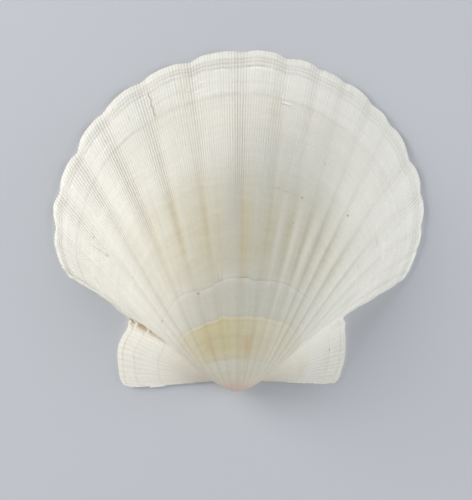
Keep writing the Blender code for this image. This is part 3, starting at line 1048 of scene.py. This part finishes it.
def liningNodes(tree, on):
    # the inside: glazed white, warmer at the hinge, with the muscle's scar and the spring's pit
    warmth = remap(tree, on.fromHinge, 26.0, 4.0, 0.0, amounts["hingeWarmth"])
    lining = mixed(tree, warmth, tone(*calcite["inside"]), tone(*calcite["insideHinge"]))
    mottle = remap(tree, on.mottle, 0.35, 0.75, 0.0, amounts["insideMottle"])
    lining = laidOn(tree, mottle, lining, "insideMottle")
    lines = remap(tree, on.fineLines, 0.4, 0.8, 0.0, amounts["insideLine"])
    lining = laidOn(tree, lines, lining, "insideLine")
    middle, reach = hinge["scarMiddle"], hinge["scarReach"]
    across = calc(tree, "DIVIDE", minus(tree, on.across, middle[0]), reach[0])
    upward = calc(tree, "DIVIDE", minus(tree, on.fromHinge, middle[1] + 4.0), reach[1])
    away = calc(tree, "SQRT", plus(tree, times(tree, across, across), times(tree, upward, upward)))
    lining = laidOn(tree, times(tree, remap(tree, away, 1.05, 0.95), amounts["scar"]), lining, "scar")
    ringOff = calc(tree, "ABSOLUTE", minus(tree, away, 1.0))
    lining = laidOn(tree, remap(tree, ringOff, 0.05, 0.0, 0.0, amounts["scarRing"]), lining, "scarRing")
    pit = times(tree, remap(tree, on.fromMiddle, 3.4, 1.6), remap(tree, on.fromHinge, 8.2, 6.4))
    return laidOn(tree, times(tree, pit, amounts["ligament"]), lining, "ligament")


def roughNodes(tree, on):
    # matt outside, glazed inside
    matt = remap(tree, on.mottle, 0.25, 0.75, 0.46, 0.60)
    matt = plus(tree, matt, remap(tree, on.fineLines, 0.3, 0.7, -0.04, 0.04))
    matt = minus(tree, matt, remap(tree, on.growth, 0.42, 0.30, 0.0, 0.08))
    glazed = remap(tree, on.mottle, 0.2, 0.8, 0.20, 0.34)
    return addNode(tree, "Mix", {0: on.within, 2: matt, 3: glazed}).outputs[0]


def bumpNodes(tree, on, dark):
    # fine relief that is too small to model
    late = remap(tree, on.growth, 0.5, 0.88, 0.08, 1.0)
    height = plus(tree, times(tree, on.fineLines, times(tree, late, 0.11)), times(tree, on.speckle, 0.035))
    height = plus(tree, height, times(tree, on.streaks, remap(tree, on.growth, 0.4, 0.8, 0.015, 0.05)))
    height = minus(tree, height, times(tree, dark, 0.3))
    height = minus(tree, height, times(tree, on.furrow, 0.06))
    height = times(tree, height, minus(tree, 1.0, times(tree, on.within, 0.85)))
    return addNode(tree, "Bump", {"Strength": 0.6, "Distance": mm, "Height": height}).outputs[0]


def makeShell():
    material = bpy.data.materials.new("shellCalcite")
    material.use_nodes = True
    tree = material.node_tree
    surface = tree.nodes["Principled BSDF"]
    on = readShell(tree)
    shade = shadeNodes(tree, on)
    colour = earNodes(tree, on, shade, discNodes(tree, on, shade))
    colour, dark = markNodes(tree, on, colour)
    colour = mixed(tree, on.within, colour, liningNodes(tree, on))
    tree.links.new(colour, surface.inputs["Base Color"])
    tree.links.new(roughNodes(tree, on), surface.inputs["Roughness"])
    tree.links.new(bumpNodes(tree, on, dark), surface.inputs["Normal"])
    surface.inputs["IOR"].default_value = 1.5
    surface.inputs["Specular IOR Level"].default_value = 0.4
    return material


# floor, light and camera
studio = {
    "floor": (0.56, 0.58, 0.62),
    "floorReach": 1.0,
    "cameraHeight": 0.45,
    "frameHeight": 0.1757,  # what the frame takes in at the floor
    "sensor": 24,
    "aim": (-0.0002, -0.0105),
    "worldTone": (0.95, 0.97, 1.0),
    "aboveLight": 0.11,  # the studio is brighter round the sides than above
    "aroundLight": 1.38,
    "lights": {  # place, size, power, colour
        "keyLight": ((-0.80, 0.38, 0.50), 0.7, 8.6, (1.0, 0.985, 0.955)),
        "rightLight": ((0.90, 0.02, 0.52), 0.8, 5.4, (0.95, 0.98, 1.0)),
        "nearLight": ((0.05, -0.90, 0.60), 0.8, 1.2, (1.0, 0.99, 0.96)),
    },
}


def addArea(name, place, target, size, power, colour):
    light = bpy.data.lights.new(name, "AREA")
    light.size = size
    light.energy = power
    light.color = colour
    lamp = bpy.data.objects.new(name, light)
    lamp.location = place
    lamp.rotation_euler = (Vector(place) - Vector(target)).to_track_quat("Z", "Y").to_euler()
    bpy.context.scene.collection.objects.link(lamp)


def makeStudio():
    scene = bpy.context.scene
    scene.view_settings.view_transform = "Standard"
    bm = bmesh.new()
    bmesh.ops.create_grid(bm, x_segments=1, y_segments=1, size=studio["floorReach"])
    mesh = bpy.data.meshes.new("floor")
    bm.to_mesh(mesh)
    bm.free()
    floor = bpy.data.objects.new("floor", mesh)
    scene.collection.objects.link(floor)
    material = bpy.data.materials.new("floorPaint")
    material.use_nodes = True
    surface = material.node_tree.nodes["Principled BSDF"]
    surface.inputs["Base Color"].default_value = (*studio["floor"], 1)
    surface.inputs["Roughness"].default_value = 0.9
    mesh.materials.append(material)

    world = bpy.data.worlds.new("studio")
    scene.world = world
    world.use_nodes = True
    tree = world.node_tree
    back = tree.nodes["Background"]
    back.inputs["Color"].default_value = (*studio["worldTone"], 1)
    upward = addNode(tree, "TexCoord", {}).outputs["Generated"]
    height = calc(tree, "ABSOLUTE", addNode(tree, "SeparateXYZ", {0: upward}).outputs[2])
    around = calc(tree, "POWER", minus(tree, 1.0, height), 2.0)
    strength = calc(tree, "MULTIPLY_ADD", around, studio["aroundLight"], studio["aboveLight"])
    tree.links.new(strength, back.inputs["Strength"])
    for name, (place, size, power, colour) in studio["lights"].items():
        addArea(name, place, (0, 0, 0), size, power, colour)

    camera = bpy.data.cameras.new("camera")
    camera.sensor_fit = "VERTICAL"
    camera.sensor_height = studio["sensor"]
    camera.lens = studio["sensor"] * studio["cameraHeight"] / studio["frameHeight"]
    camera.clip_start = 0.01
    eye = bpy.data.objects.new("camera", camera)
    eye.location = (*studio["aim"], studio["cameraHeight"])
    scene.collection.objects.link(eye)
    scene.camera = eye


makeStudio()
print("studio ready")
piece = makeValve()
piece.data.materials.append(makeShell())
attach(piece, "root")
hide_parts("scallop_valve")
print("valve ready")
